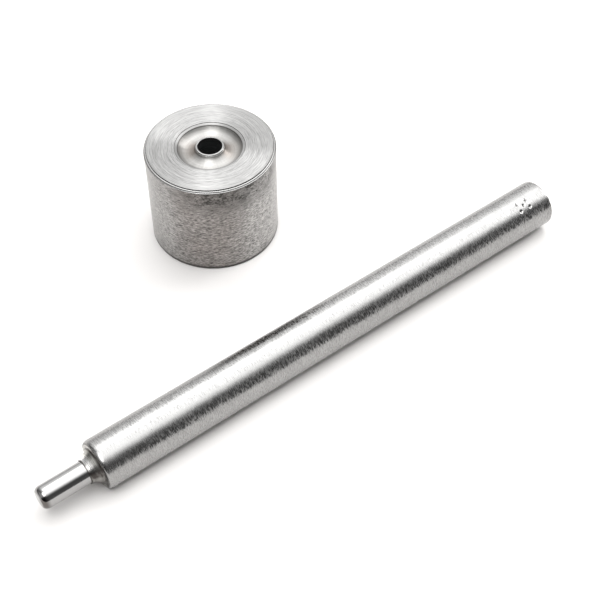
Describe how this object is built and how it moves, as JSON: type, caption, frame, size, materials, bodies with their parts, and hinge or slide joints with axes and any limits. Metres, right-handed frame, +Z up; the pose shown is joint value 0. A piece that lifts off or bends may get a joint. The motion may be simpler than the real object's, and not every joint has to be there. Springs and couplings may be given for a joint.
{
  "type": "eyelet setting set",
  "caption": "Eyelet setting set: a round steel anvil with a ring groove and hollow post, and a straight punch with a flared neck and polished pilot pin.",
  "frame": {"origin": "centre of the anvil's base, on the surface that both pieces rest on", "axes": "+Z up along the anvil's axis; the punch lies along X at negative Y, with its pilot pin towards -X and its butt towards +X"},
  "size_m": [0.1166, 0.0571, 0.0215],
  "materials": {
    "turned_steel": "turned, bright zinc plated",
    "ground_steel": "cross-ground, bright plated",
    "polished_steel": "polished"
  },
  "bodies": {
    "anvil": {"anvil": "turned_steel"},
    "punch": {"punch_shank": "ground_steel", "pilot_pin": "polished_steel"}
  },
  "joints": [
    {"name": "punch_lift", "type": "slide", "parent": "anvil", "child": "punch", "axis": [0, 0, 1], "range_m": [0, 0.06]}
  ]
}
